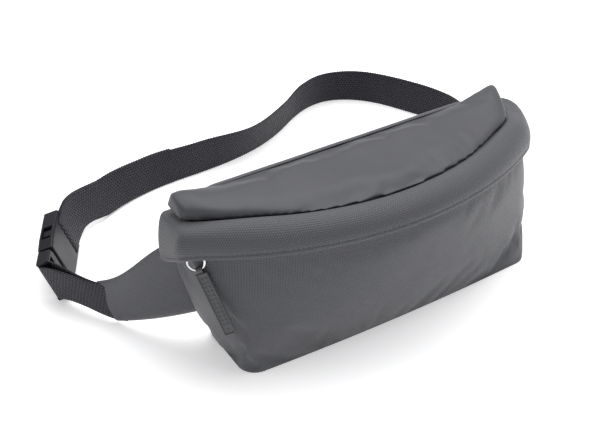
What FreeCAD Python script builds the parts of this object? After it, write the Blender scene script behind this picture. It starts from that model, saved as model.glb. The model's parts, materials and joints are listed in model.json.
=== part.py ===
import FreeCAD, Part
import math
import os
from FreeCAD import Matrix, Vector

# A zipped waist bag on a webbing belt with a side-release buckle.
# Frame: origin at the centre of the bag's flat bottom, +X along the bag to the wearer's left,
# +Y to the wearer's back panel, +Z up. Millimetres.

# ---------------------------------------------------------------- driving dimensions
RIM_R = 219.0            # plan radius of the cover band's free lower edge
RIM_FRONT_Y = -59.0      # front-most point of that edge
RIM_Z = 103.0            # its height at the front
RIM_TILT = -6.7          # the zip's plane falls towards the back, degrees about X
ARC_Y = RIM_FRONT_Y + RIM_R

FABRIC = 1.2             # coated fabric with its backing
BAND_T = 1.6             # folded cover band
PANEL_INSET = 5.2        # front panel's top edge, inside the band's edge
BACK_BOTTOM_Y = 30.0     # back panel at the bottom
BACK_TOP_Y = 32.5        # back panel at the top
BACK_TOP_Z = 112.6       # top edge of the back panel
LID_BACK_Y = 30.0        # back edge of the lid's top panel
LID_EDGE_Z = 115.9       # its seam with the cover band
SPLIT_Y = 26.0           # seam between front and back panels, at the back corners
BAND_END_Y = 25.6        # where the cover band's two ends are sewn down, by the back corners
BAND_SEAM_INSET = 18.8   # the band's inner edge, inside its free lower edge
LID_SEAM_INSET = 19.3    # the top panel's edge, sewn just inside the band's
FOAM_POCKET = 4.0        # space between the back panel and the lining
FOAM_T = 3.6             # padding in it
FOAM_CORNERS = [(-98, 5), (104, 5), (112, 108), (-112, 108)]
FOAM_TILT = -1.3         # follows the back panel's slope, degrees
FOAM_GAP = 0.15          # on both sides of the pocket
LINING_GAP = 0.3         # between the fabric and the lining
LINING_T = 0.5

HINGE_Y = 32.0           # fold line of the lid
HINGE_Z = 114.6
BINDING_R = 1.4          # rolled seam binding along the fold line

ZIP_INSET = 7.6          # zip chain, inside the band's edge
ZIP_Z = 106.0            # height of the chain's middle, before the tilt
ZIP_R = RIM_R - ZIP_INSET
ZIP_HALF_GAP = 0.8       # half the slot that the slider's post runs in
ZIP_STAGGER = 0.25       # the two rows of teeth are offset by half a pitch
TOOTH_H = 2.6
TOOTH_T = 2.4
TOOTH_W = 1.8
TOOTH_PITCH = 0.85       # degrees round the arc
CHAIN_ENDS = (-37.6, 29.0)    # where the teeth start and stop, degrees from the front
STOP_ENDS = (-41.6, 31.4)     # outer ends of the metal stops
TAPE_T = 0.6
TAPE_Z = 98.2            # lower edge of the tape, where the lining is sewn to it
TAPE_MARGIN = 0.4        # the upper tape stops short of the chain's ends, degrees
SLIDER_ANGLE = -39.4     # where the closed slider parks, degrees from the front
SLIDER_HALF = 1.65       # half the slider's length, degrees
SLIDER_HALF_H = 4.5      # half its height
FLANGE_T = 0.7           # its top and bottom flanges
LOOP_SIZE = (2.4, 3.2, 6.4)    # the loop that holds the ring: width, depth, height

RING_R = 5.6             # puller ring, to the middle of its wire
WIRE_R = 0.7
RING_LEAN = 9.0          # the ring hangs outwards, degrees
TAB_SWAY = 20.0          # the tab rests turned towards the bag's middle, degrees
TAB_LENGTH = 48.5
TAB_WIDTH = 8.0
TAB_T = 2.4
TAB_HEAD_R = 2.2         # moulded eye round the ring
TAB_HEAD_HALF = 2.0
TAB_EYE_R = 1.4
TAB_NECK = 2.8           # from the ring's wire to the tab's full width
TAB_LEAN = 5.5           # the tab lies out along the front panel, degrees from upright

WEBBING_W = 30.0
WEBBING_T = 1.5
WING_LAYER = 1.2
WING_CORE = 1.8
WING_CORE_SHARE = 0.66   # the padding stops before the belt's sewn end
WING_BULGE = 3.5         # how far the wing's face bows out halfway
WING_ROOT = (Vector(-116, 27.5, 22), Vector(-133, 26, 90))    # bottom and top, at the bag
WING_TIP = (Vector(-162, 72, 1), Vector(-169, 84, 31))        # bottom and top, at the belt

BUCKLE_W = 36.6
BUCKLE_T = 12.0
SOCKET_LENGTH = 46.0
PLUG_LENGTH = 63.0       # strap end of the socket to strap end of the plug
BUCKLE_LEAN = 21.0       # the standing buckle leans back, degrees
BUCKLE_HEADING = -119.0  # from the socket to the plug, in plan
BUCKLE_FOOT = Vector(-153, 167, 0)

# Plan outlines of the pouch: front line with its radius, then for each end the half angle
# where the front line stops, the front corner, the heading of the end and the back corner.
RIM = dict(front_y=RIM_FRONT_Y, front_r=RIM_R, left=(40.8, 9.0, 92.0, 8.0), right=(32.5, 36.0, 65.0, 16.0))
MIDDLE = dict(front_y=-45.0, front_r=330.0, left=(20.5, 10.0, 79.0, 10.0), right=(21.3, 34.0, 78.0, 13.0))
BOTTOM = dict(front_y=-30.0, front_r=2000.0, left=(2.9, 13.0, 92.0, 8.0), right=(3.45, 13.0, 92.0, 10.0))
MIDDLE_Z = 45.0
TOP_Z = 114.0

os.makedirs("parts", exist_ok=True)


# ---------------------------------------------------------------- helpers
def tilt(shape, angle=RIM_TILT):
    """Turns a shape about the X line through the front of the rim."""
    shape.rotate(Vector(0, RIM_FRONT_Y, RIM_Z), Vector(1, 0, 0), angle)
    return shape


def end_points(plan, side, inset, back_y):
    """Points of one end of a plan outline: front corner, end line and back corner."""
    turn, corner, heading, back = plan["right"] if side > 0 else plan["left"]
    turn, heading = math.radians(turn), math.radians(heading)
    corner, back = max(corner - inset, 3.0), max(back - inset, 3.0)
    radius = plan["front_r"] - inset
    centre = Vector(0, plan["front_y"] + plan["front_r"], 0)

    def left_of(angle):
        return Vector(-math.sin(angle), math.cos(angle), 0)

    start = centre - left_of(turn) * radius
    corner_centre = start + left_of(turn) * corner
    corner_mid = corner_centre - left_of((turn + heading) / 2) * corner
    corner_end = corner_centre - left_of(heading) * corner
    run = (back_y - corner_end.y - back * (1 + math.cos(heading))) / math.sin(heading)
    back_start = corner_end + Vector(math.cos(heading), math.sin(heading), 0) * run
    back_centre = back_start + left_of(heading) * back
    back_mid = back_centre - left_of((heading + math.pi) / 2) * back
    back_end = Vector(back_centre.x, back_y, 0)
    points = (start, corner_mid, corner_end, back_start, back_mid, back_end)
    return [Vector(side * p.x, p.y, 0) for p in points]


def outline(plan, z, back_y, inset=0.0, angle=0.0):
    """Closed plan outline at height z: front arc, corners, ends and a straight back."""
    right = end_points(plan, 1, inset, back_y)
    left = end_points(plan, -1, inset, back_y)
    front = Vector(0, plan["front_y"] + inset, 0)
    edges = [
        Part.Arc(left[0], front, right[0]).toShape(),
        Part.Arc(*right[:3]).toShape(),
        Part.makeLine(right[2], right[3]),
        Part.Arc(*right[3:]).toShape(),
        Part.makeLine(right[5], left[5]),
        Part.Arc(left[5], left[4], left[3]).toShape(),
        Part.makeLine(left[3], left[2]),
        Part.Arc(left[2], left[1], left[0]).toShape(),
    ]
    wire = Part.Wire(edges)
    wire.translate(Vector(0, 0, z))
    return tilt(wire, angle) if angle else wire


def shrunk(wire, inset, rise):
    """A closed outline made smaller by an inset on each side, and raised."""
    box = wire.BoundBox
    matrix = Matrix()
    matrix.move(box.Center * -1)
    matrix.scale(1 - 2 * inset / box.XLength, 1 - 2 * inset / box.YLength, 1)
    matrix.move(box.Center + Vector(0, 0, rise))
    return wire.transformGeometry(matrix)


def pouch(inset, bottom_z, back_inset):
    """Solid that fills the pouch to its outer face, less an inset."""
    return Part.makeLoft([
        outline(BOTTOM, bottom_z, BACK_BOTTOM_Y - back_inset, inset),
        outline(MIDDLE, MIDDLE_Z, BACK_BOTTOM_Y + 1 - back_inset, inset),
        outline(RIM, RIM_Z - 5, BACK_TOP_Y - 0.5 - back_inset, inset + PANEL_INSET),
        outline(RIM, TOP_Z, BACK_TOP_Y - back_inset, inset + PANEL_INSET),
    ], True, False)


def arc_strip(profile, start, end):
    """Solid swept round the zip's centre line: profile is (radius, height) points."""
    points = [Vector(0, ARC_Y - r, z) for r, z in profile]
    face = Part.Face(Part.makePolygon(points + points[:1]))
    centre = Vector(0, ARC_Y, 0)
    face.rotate(centre, Vector(0, 0, 1), start)
    return tilt(face.revolve(centre, Vector(0, 0, 1), end - start))


def ring_block(r0, r1, z0, z1, start, end):
    """Arc strip with a plain rectangular section."""
    return arc_strip([(r0, z0), (r1, z0), (r1, z1), (r0, z1)], start, end)


def at_slider(shape, angle=SLIDER_ANGLE):
    """Carries a shape built at the front of the arc to the parked slider."""
    shape.rotate(Vector(0, ARC_Y, 0), Vector(0, 0, 1), angle)
    return tilt(shape)


def half_space(y0, y1, z0, z1):
    """Large block between two Y and two Z planes."""
    return Part.makeBox(600, y1 - y0, z1 - z0, Vector(-300, y0, z0))


def layer(rows, low, high):
    """Solid sheet through rows of (bottom, top, normal), between two offsets along the normal."""
    wires = []
    for bottom, top, normal in rows:
        near, far = normal * low, normal * high
        corners = [bottom + near, top + near, top + far, bottom + far]
        wires.append(Part.makePolygon(corners + corners[:1]))
    return Part.makeLoft(wires, True, False)


def mirrored(shape):
    """The same shape on the other side of the bag."""
    return shape.mirror(Vector(0, 0, 0), Vector(1, 0, 0))


def save(name, *solids):
    """Writes a node, after a check that each of its solids is closed and valid."""
    shape = Part.makeCompound(list(solids)) if len(solids) > 1 else solids[0]
    flat = shape.Solids
    if not flat or not all(s.isValid() and s.Volume > 0 for s in flat):
        raise RuntimeError("bad solid in " + name)
    shape = flat[0] if len(flat) == 1 else Part.makeCompound(flat)
    shape.exportStep("parts/" + name + ".step")
    return shape


# ---------------------------------------------------------------- pouch
def make_pouch():
    """Front panel with its ends, bottom, back panel, padding and lining."""
    outer = pouch(0, 0, 0)
    walls = outer.cut(pouch(FABRIC, -0.2, FABRIC)).common(half_space(-90, 60, FABRIC, TOP_Z))
    below_rim = tilt(half_space(-120, SPLIT_Y, -60, RIM_Z - 2.4))
    save("front_panel", walls.common(below_rim))
    save("back_panel", walls.common(half_space(SPLIT_Y, 60, FABRIC, BACK_TOP_Z)))
    save("bottom_panel", outer.common(half_space(-90, 60, 0, FABRIC)))
    save("lid_fold_binding", Part.makeCylinder(BINDING_R, 236, Vector(-118, HINGE_Y, HINGE_Z), Vector(1, 0, 0)))

    back_face = FABRIC + FOAM_POCKET + 2 * FOAM_GAP
    outside = FABRIC + LINING_GAP
    inside = outside + LINING_T
    lining = pouch(outside, outside, back_face).cut(pouch(inside, inside, back_face + LINING_T))
    save("pouch_lining", lining.common(tilt(half_space(-120, 80, -60, TAPE_Z - LINING_GAP))))

    foam = [Vector(x, 0, z) for x, z in FOAM_CORNERS]
    pad = Part.Face(Part.makePolygon(foam + foam[:1])).extrude(Vector(0, FOAM_T, 0))
    pad.rotate(Vector(0, 0, 0), Vector(1, 0, 0), FOAM_TILT)
    pad.translate(Vector(0, BACK_BOTTOM_Y - FABRIC - FOAM_POCKET - FOAM_GAP / 3, 0))
    save("back_padding", pad)
    return outer


# ---------------------------------------------------------------- lid
def make_lid():
    """Cover band over the zip, crowned top panel and the lid's lining."""
    # Both profiles: inset from the rim, height and tilt, from the free lower edge up over the roll.
    profile = [(-0.4, 103.0, -6.7), (-0.9, 106.0, -6.2), (0.5, 110.0, -4.5),
               (4.6, 114.0, -2.5), (11.5, 117.3, -1.0), (18.6, 118.2, 0.0)]
    outer = Part.makeLoft([outline(RIM, z, BACK_TOP_Y, i, a) for i, z, a in profile], True, False)
    inner_profile = [(1.2, 102.4, -6.7), (0.7, 106.0, -6.2), (2.1, 109.6, -4.5),
                     (6.0, 112.9, -2.5), (12.2, 115.8, -1.0), (18.9, 116.8, 0.0)]
    inner = Part.makeLoft([outline(RIM, z, BACK_TOP_Y, i, a) for i, z, a in inner_profile], True, False)
    opening = Part.Face(outline(RIM, 90, BACK_TOP_Y, BAND_SEAM_INSET)).extrude(Vector(0, 0, 40))
    band = outer.cut(inner).cut(opening).common(half_space(-120, BAND_END_Y, 60, 140))
    save("zip_cover_band", band)

    edge = outline(RIM, LID_EDGE_Z, LID_BACK_Y, LID_SEAM_INSET)
    # Crown of the panel and its underside: inset from its edge and rise.
    crown = [(0, 0), (0.3, 1.7), (2.7, 3.4), (8.7, 4.8), (16.0, 5.6)]
    under = [(1.2, -0.1), (1.5, 0.5), (3.7, 2.0), (9.3, 3.4), (16.0, 4.2)]
    solids = [Part.makeLoft([shrunk(edge, *row) for row in rows], True, False) for rows in (crown, under)]
    save("top_panel", solids[0].cut(solids[1]))
    save("lid_lining", Part.Face(shrunk(edge, 1.8, -1.0)).extrude(Vector(0, 0, LINING_T)))
    return band


# ---------------------------------------------------------------- zip
def make_zip():
    """Two tapes, two rows of teeth, end stops, and the slider with its loop."""
    t0, t1 = ZIP_R - TAPE_T / 2, ZIP_R + TAPE_T / 2
    root = ZIP_HALF_GAP + TOOTH_H
    chain_start, chain_end = CHAIN_ENDS
    save("zip_tape_lower", ring_block(t0, t1, TAPE_Z, ZIP_Z - root, *STOP_ENDS))
    bend = [(t0, ZIP_Z + root), (t1, ZIP_Z + root), (t1, 111.2), (t1 - 6.0, 114.0), (t0 - 6.0, 114.0), (t0, 111.2)]
    save("zip_tape_upper", arc_strip(bend, chain_start + TAPE_MARGIN, chain_end - TAPE_MARGIN))

    count = int((chain_end - chain_start) / TOOTH_PITCH)
    half = math.degrees(TOOTH_W / 2 / ZIP_R)

    def teeth(z0, stagger):
        row = []
        for i in range(count):
            angle = chain_start + (i + 0.5 + stagger) * TOOTH_PITCH
            row.append(ring_block(ZIP_R - TOOTH_T / 2, ZIP_R + TOOTH_T / 2, z0, z0 + TOOTH_H,
                                  angle - half, angle + half))
        return row

    save("zip_teeth_lower", *teeth(ZIP_Z - root, -ZIP_STAGGER))
    save("zip_teeth_upper", *teeth(ZIP_Z + ZIP_HALF_GAP, ZIP_STAGGER))
    for name, end, inward in (("zip_stop_left", STOP_ENDS[0], 0.45), ("zip_stop_right", STOP_ENDS[1], -0.45)):
        save(name, ring_block(ZIP_R - 1.4, ZIP_R + 1.2, ZIP_Z - root, ZIP_Z, *sorted((end, end + inward))))

    a0, a1 = SLIDER_ANGLE - SLIDER_HALF, SLIDER_ANGLE + SLIDER_HALF
    inner0, inner1 = ZIP_R - 2.7, ZIP_R - 1.6
    outer0, outer1 = ZIP_R + 1.5, ZIP_R + 2.6
    low, high = ZIP_Z - SLIDER_HALF_H, ZIP_Z + SLIDER_HALF_H
    slider = ring_block(inner0, inner1, low, high, a0, a1)
    pieces = [ring_block(outer0, outer1, low, high, a0, a1),
              ring_block(inner1, outer0, ZIP_Z - 0.5, ZIP_Z + 0.5, a0, a0 + 1.1)]
    for z0 in (low, high - FLANGE_T):
        pieces.append(ring_block(inner1, ZIP_R - FLANGE_T, z0, z0 + FLANGE_T, a0, a1))
        pieces.append(ring_block(ZIP_R + FLANGE_T, outer0, z0, z0 + FLANGE_T, a0, a1))
    slider = slider.fuse(pieces).removeSplitter()
    save("zip_slider", slider)

    width, depth, _ = LOOP_SIZE
    loop = Part.makeBox(*LOOP_SIZE, Vector(-width / 2, ARC_Y - outer1 - depth, 101.7))
    hole = Part.makeBox(6, 1.9, 3.4, Vector(-3, ARC_Y - outer1 - 1.95, 103.0))
    save("slider_loop", at_slider(loop.cut(hole)))


def make_puller():
    """Wire ring through the slider's loop, and the folded tab that hangs on it."""
    ring_y = ARC_Y - (ZIP_R + 3.55)
    top = Vector(0, ring_y, 104.7)
    ring = Part.makeTorus(RING_R, WIRE_R, top - Vector(0, 0, RING_R), Vector(0, 1, 0))
    ring.rotate(top, Vector(1, 0, 0), -RING_LEAN)
    lean = math.radians(RING_LEAN)
    centre = top + Vector(0, -math.sin(lean), -math.cos(lean)) * RING_R
    low = top + Vector(0, -math.sin(lean), -math.cos(lean)) * (2 * RING_R)

    face_y = low.y - TAB_T / 2
    foot = Vector(-TAB_WIDTH / 2, face_y, low.z - TAB_LENGTH)
    body = Part.makeBox(TAB_WIDTH, TAB_T, TAB_LENGTH - TAB_NECK, foot)
    neck_foot = Vector(-TAB_HEAD_HALF, face_y, low.z - TAB_NECK - 1)
    neck = Part.makeBox(2 * TAB_HEAD_HALF, TAB_T, TAB_NECK + 1, neck_foot)
    head = Part.makeCylinder(TAB_HEAD_R, 2 * TAB_HEAD_HALF, low - Vector(TAB_HEAD_HALF, 0, 0), Vector(1, 0, 0))
    eye = Part.makeCylinder(TAB_EYE_R, TAB_WIDTH, low - Vector(TAB_WIDTH / 2, 0, 0), Vector(1, 0, 0))
    tab = body.fuse([neck, head]).cut(eye).removeSplitter()
    tab.rotate(low, Vector(1, 0, 0), -TAB_LEAN)
    axis = Vector(0, math.cos(lean), -math.sin(lean))
    tab.rotate(centre, axis, -TAB_SWAY)
    save("puller_ring", at_slider(ring))
    save("pull_tab", at_slider(tab))

    line = Part.makeLine(centre, centre + axis)
    low_line = Part.makeLine(low, low + Vector(1, 0, 0))
    low_line.rotate(centre, axis, -TAB_SWAY)
    for name, edge in (("ring", at_slider(line)), ("tab", at_slider(low_line))):
        p, q = edge.Vertexes[0].Point, edge.Vertexes[1].Point
        print(name, "pivot", [round(v, 3) for v in p], "axis", [round(v, 4) for v in (q - p)])


# ---------------------------------------------------------------- wings and belt
def wing_rows(share=1.0):
    """Rows of the left wing from the bag's back corner to its tip: bottom, top, normal."""
    (root_low, root_high), (tip_low, tip_high) = WING_ROOT, WING_TIP
    rows = []
    for t in (0.0, 0.25, 0.5, 0.75, 1.0):
        s = t * share
        bulge = Vector(-0.8, -0.6, 0) * (4 * s * (1 - s) * WING_BULGE)
        low = root_low + (tip_low - root_low) * s + bulge
        high = root_high + (tip_high - root_high) * s + bulge
        across = (tip_low - root_low).cross(high - low)
        rows.append((low, high, across.normalize()))
    return rows


def make_wings(outer):
    """Front and back layers of each wing, with a padding core that stops before the belt."""
    half = WING_CORE / 2
    for side in ("left", "right"):
        layers = (("front", wing_rows(), -half - WING_LAYER, -half),
                  ("back", wing_rows(), half, half + WING_LAYER),
                  ("core", wing_rows(WING_CORE_SHARE), -half + 0.1, half - 0.1))
        for name, rows, low, high in layers:
            solid = layer(rows, low, high)
            solid = mirrored(solid) if side == "right" else solid
            save("wing_" + side + "_" + name, solid.cut(outer))


def strap_solid(points, leans, lifts, count, start, stop, offset=0.0):
    """Webbing standing on its lower edge along a smooth line, between two shares of it.
    It leans outwards by the given degrees, and offset moves it off that line outwards."""
    curve = Part.BSplineCurve()
    curve.interpolate([Vector(x, y, 0) for x, y in points])
    knots = curve.getKnots()
    first, last = curve.FirstParameter, curve.LastParameter
    first, last = first + (last - first) * start, first + (last - first) * stop
    wires = []
    for i in range(count + 1):
        u = first + (last - first) * i / count
        k = min(max(j for j in range(len(knots)) if knots[j] <= u + 1e-9), len(knots) - 2)
        f = (u - knots[k]) / (knots[k + 1] - knots[k])
        ease = f * f * (3 - 2 * f)
        lean = math.radians(leans[k] + (leans[k + 1] - leans[k]) * ease)
        lift = lifts[k] + (lifts[k + 1] - lifts[k]) * ease
        along = curve.tangent(u)[0]
        side = Vector(-along.y, along.x, 0)
        up = side * -math.sin(lean) + Vector(0, 0, math.cos(lean))
        out = along.cross(up)
        base = curve.value(u) + Vector(0, 0, lift + abs(out.z) * WEBBING_T / 2) + out * offset
        low, high = base - out * (WEBBING_T / 2), base + out * (WEBBING_T / 2)
        corners = [low, low + up * WEBBING_W, high + up * WEBBING_W, high]
        wires.append(Part.makePolygon(corners + corners[:1]))
    return Part.makeLoft(wires, True, True), curve.length()


# Plan route of the long strap's lower edge, from inside the right wing to the buckle,
# and how far it leans outwards there, in degrees.
ROUTE = [(152.5, 60.4), (162.3, 71.7), (187, 108), (201, 138), (202, 166), (190, 194), (168, 234), (132, 256),
         (104, 251), (72, 233), (32, 217), (-20, 211), (-67, 208), (-105, 196), (-132, 182.5)]
ROUTE_LEAN = [-7, -7, 0, 0, 0, 4, 0, -4, -6, -10, -14, 0, 8, 16, 21]
ROUTE_LIFT = [2, 0.5, 0.5, 0.5, 0.5, 0.5, 0.5, 0.5, 0.5, 0.5, 0.5, 0.5, 0.5, 1.5, 4.2]
STRAP_STOP = 0.972       # leaves the slack that the ladder end takes up when the buckle opens
TAIL_START = 0.82        # free end beyond the ladder, lying on the strap's outer face
TAIL_OFFSET = 2.1

# The short strap: the bottom and top of its sewn end in the left wing, then where its two
# plies are along it (share of its length), half their gap and their thickness.
SHORT_STRAP_TIP = (Vector(-156.4, 64.2, 4.2), Vector(-163.2, 72.2, 33.0))
SHORT_STRAP_START = Vector(-0.62, 0.75, -0.2)    # its direction out of the wing
SHORT_STRAP_PLY = [(0.0, 0.03, 0.8), (0.3, 0.05, 1.3), (0.55, 0.5, 1.5), (0.8, 1.8, 1.5), (1.0, 3.1, 1.5)]
PLUG_BAR_X = 61.1        # the plug's bar, along the buckle
PLUG_TURN = (0.776, 0.556)    # how the short strap turns inwards from the bar


# ---------------------------------------------------------------- buckle
HEADING = math.radians(BUCKLE_HEADING)
LEAN = math.radians(BUCKLE_LEAN)
AXIS = Vector(math.cos(HEADING), math.sin(HEADING), 0)
ACROSS = Vector(math.sin(HEADING) * math.sin(LEAN), -math.cos(HEADING) * math.sin(LEAN), math.cos(LEAN))
OUTWARD = AXIS.cross(ACROSS)
BUCKLE_LIFT = BUCKLE_T / 2 * abs(OUTWARD.z) + 0.3
BUCKLE_ORIGIN = BUCKLE_FOOT + ACROSS * (BUCKLE_W / 2) + Vector(0, 0, BUCKLE_LIFT)


def in_buckle(shape):
    """Places a shape built along +X, width along Y, outer face towards +Z."""
    matrix = Matrix(AXIS.x, ACROSS.x, OUTWARD.x, BUCKLE_ORIGIN.x,
                    AXIS.y, ACROSS.y, OUTWARD.y, BUCKLE_ORIGIN.y,
                    AXIS.z, ACROSS.z, OUTWARD.z, BUCKLE_ORIGIN.z,
                    0, 0, 0, 1)
    return shape.transformGeometry(matrix)


def block(x0, x1, y0, y1, z0, z1):
    """Plain box between two corners."""
    return Part.makeBox(x1 - x0, y1 - y0, z1 - z0, Vector(x0, y0, z0))


def plate(points, half_thickness):
    """Flat plate with a polygon outline, centred on Z = 0."""
    corners = [Vector(x, y, -half_thickness) for x, y in points]
    return Part.Face(Part.makePolygon(corners + corners[:1])).extrude(Vector(0, 0, 2 * half_thickness))


def make_buckle():
    """Socket with two ladder bars, plug with a centre guide, and its two prongs."""
    half = BUCKLE_W / 2
    rim = [(0, -half + 1), (1, -half), (34, -half), (SOCKET_LENGTH, -half + 1.2), (SOCKET_LENGTH, half - 1.2),
           (34, half), (1, half), (0, half - 1)]
    body = plate(rim, BUCKLE_T / 2)
    body = body.makeFillet(1.6, [e for e in body.Edges if abs(e.tangentAt(e.FirstParameter).z) < 0.1])
    # The cavity for the prongs and their side windows, the ladder's two slots and the room round its bars.
    socket = body.cut([
        block(15.5, SOCKET_LENGTH + 1, -15.5, 15.5, -3.7, 3.7),
        block(20.0, 34.6, -half - 1, half + 1, -3.7, 3.7),
        block(3.2, 6.8, -15.6, 15.6, -10, 10),
        block(10.0, 13.6, -15.6, 15.6, -10, 10),
        block(-1, 14.6, -15.6, 15.6, -10, -3.0),
        block(3.0, 14.0, -15.6, 15.6, 3.0, 10),
    ])
    save("buckle_socket", in_buckle(socket))

    base = plate([(46.8, -13), (49, -17.5), (PLUG_LENGTH, -17.5), (PLUG_LENGTH, 17.5), (49, 17.5), (46.8, 13)], 5.0)
    base = base.makeFillet(1.2, [e for e in base.Edges if abs(e.tangentAt(e.FirstParameter).z) < 0.1])
    guide = plate([(35, -2.6), (36.5, -4), (47.5, -4), (47.5, 4), (36.5, 4), (35, 2.6)], 2.6)
    # The slot behind the plug's bar, and the bar thinned on both faces for the webbing.
    plug = base.fuse(guide).cut([
        block(54.4, 59.2, -15.4, 15.4, -10, 10),
        block(54.4, 70, -15.4, 15.4, 2.2, 10),
        block(54.4, 70, -15.4, 15.4, -10, -2.2),
    ])
    pivots = []
    for side in (-1, 1):
        pivot = Vector(50.0, side * 10.6, 0)
        notch = Part.makeCylinder(2.8, 7.2, pivot - Vector(0, 0, 3.6), Vector(0, 0, 1))
        slot = block(45, 50, *sorted((side * 7.8, side * 13.4)), -3.6, 3.6)
        plug = plug.cut([notch, slot])
        pivots.append(pivot)
    save("buckle_plug", in_buckle(plug.removeSplitter()))

    for name, side, pivot in (("prong_lower", -1, pivots[0]), ("prong_upper", 1, pivots[1])):
        arm = [(50, 8.4), (50, 12.8), (34, 13.6), (30.2, 15.0), (30.0, 16.9), (23.5, 16.9), (19, 14.6),
               (18.2, 12.6), (20, 10.6), (27, 9.0)]
        prong = plate([(x, side * y) for x, y in arm], 3.2)
        eye = Part.makeCylinder(2.4, 6.4, pivot - Vector(0, 0, 3.2), Vector(0, 0, 1))
        save(name, in_buckle(prong.fuse(eye).removeSplitter()))
        print(name, "pivot", [round(v, 3) for v in buckle_point(pivot)])
    print("buckle axis", AXIS, "outward", OUTWARD)


def buckle_point(p):
    """A point of the buckle's own frame, in the bag's frame."""
    return BUCKLE_ORIGIN + AXIS * p.x + ACROSS * p.y + OUTWARD * p.z


def ribbon(points):
    """Webbing in the buckle's frame through (x, z) points, as flat runs with round joints."""
    half, t = WEBBING_W / 2, WEBBING_T / 2
    runs = []
    for (x0, z0), (x1, z1) in zip(points, points[1:]):
        run = Part.makeBox(math.hypot(x1 - x0, z1 - z0), 2 * half, 2 * t, Vector(0, -half, -t))
        run.rotate(Vector(0, 0, 0), Vector(0, 1, 0), -math.degrees(math.atan2(z1 - z0, x1 - x0)))
        run.translate(Vector(x0, 0, z0))
        runs += [run, Part.makeCylinder(t, 2 * half, Vector(x1, -half, z1), Vector(0, 1, 0))]
    return runs[0].fuse(runs[1:-1]).removeSplitter()


def make_straps():
    """Long strap, its end in the socket's ladder, its free tail, and the short strap."""
    strap, length = strap_solid(ROUTE, ROUTE_LEAN, ROUTE_LIFT, 56, 0, STRAP_STOP)
    save("long_strap", strap)
    tail, _ = strap_solid(ROUTE, ROUTE_LEAN, ROUTE_LIFT, 12, TAIL_START, STRAP_STOP, TAIL_OFFSET)
    save("strap_tail", tail)
    print("long strap route", round(length, 1))

    # The ladder end: up through the inner slot, over the middle bar, down the outer slot and back as the tail.
    loop = [(-22, -10.6), (-2, -6.4), (9.5, -6.4), (11.8, -3.6), (11.8, 2.4), (10.2, 4.0), (6.6, 4.0),
            (5.0, 2.4), (5.0, -2.4), (3.0, -4.4), (-3, -4.4), (-22, -8.4)]
    save("strap_end", in_buckle(ribbon(loop)))

    save("short_strap", short_strap())


def short_strap():
    """Two plies from the left wing that meet round the plug's bar, as one closed band."""
    half = Vector(0, WEBBING_W / 2, 0)
    bar = Vector(PLUG_BAR_X, 0, 0)
    tips, bars = SHORT_STRAP_TIP, (buckle_point(bar - half), buckle_point(bar + half))
    away = (OUTWARD * PLUG_TURN[0] - AXIS * PLUG_TURN[1]).normalize()
    stretch = (bars[0] - tips[0]).Length

    def curve(s, start, end):
        """Hermite curve from the wing to the bar."""
        h = s * s * (3 - 2 * s)
        return (start + (end - start) * h + SHORT_STRAP_START * (stretch * s * (1 - s) ** 2)
                - away * (stretch * s * s * (1 - s)))

    def section(low, high, across, gap, thickness):
        near, far = across * gap, across * (gap + thickness)
        corners = [low + near, high + near, high + far, low + far]
        return Part.makePolygon(corners + corners[:1])

    def ply(side):
        found = []
        for s, gap, thickness in SHORT_STRAP_PLY:
            low, high = curve(s, tips[0], bars[0]), curve(s, tips[1], bars[1])
            ahead = curve(s + 0.01, tips[0], bars[0]) - curve(s - 0.01, tips[0], bars[0])
            across = (high - low).cross(ahead).normalize() * side
            found.append(section(low, high, across, gap, thickness))
        return found

    across = (bars[1] - bars[0]).cross(away).normalize()
    gap, thickness = SHORT_STRAP_PLY[-1][1:]
    turn = []
    for i in range(1, 8):
        angle = math.pi * i / 8
        radial = across * math.cos(angle) + away * math.sin(angle)
        turn.append(section(bars[0], bars[1], radial, gap, thickness))
    return Part.makeLoft(ply(1) + turn + ply(-1)[::-1], True, True)


if __name__ == "__main__":
    pouch_outer = make_pouch()
    make_lid()
    make_zip()
    make_puller()
    make_wings(pouch_outer)
    make_buckle()
    make_straps()
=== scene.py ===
import json
import math

import bmesh
import bpy
import numpy as np
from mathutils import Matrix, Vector, noise


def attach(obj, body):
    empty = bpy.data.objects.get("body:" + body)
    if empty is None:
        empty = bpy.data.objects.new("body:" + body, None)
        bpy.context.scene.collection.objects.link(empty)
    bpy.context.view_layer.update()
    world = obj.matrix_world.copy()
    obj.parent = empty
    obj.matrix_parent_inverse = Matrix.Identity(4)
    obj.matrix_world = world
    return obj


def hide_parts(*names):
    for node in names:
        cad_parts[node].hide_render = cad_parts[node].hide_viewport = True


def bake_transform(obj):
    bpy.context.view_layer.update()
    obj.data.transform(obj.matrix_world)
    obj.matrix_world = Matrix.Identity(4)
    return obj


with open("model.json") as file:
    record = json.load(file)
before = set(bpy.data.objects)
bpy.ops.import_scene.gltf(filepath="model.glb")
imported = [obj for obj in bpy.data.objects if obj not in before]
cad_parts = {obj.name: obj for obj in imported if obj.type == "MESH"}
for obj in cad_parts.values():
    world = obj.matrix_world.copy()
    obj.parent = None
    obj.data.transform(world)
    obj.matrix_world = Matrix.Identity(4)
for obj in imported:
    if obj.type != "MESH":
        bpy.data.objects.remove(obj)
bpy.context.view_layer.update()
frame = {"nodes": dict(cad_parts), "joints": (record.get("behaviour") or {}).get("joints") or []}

# A zipped waist bag on a webbing belt. Shapes are worked out in millimetres in the CAD's frame
# (+X along the bag, +Y to the wearer, +Z up) and become metres in make_object().
MM = 0.001

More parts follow.
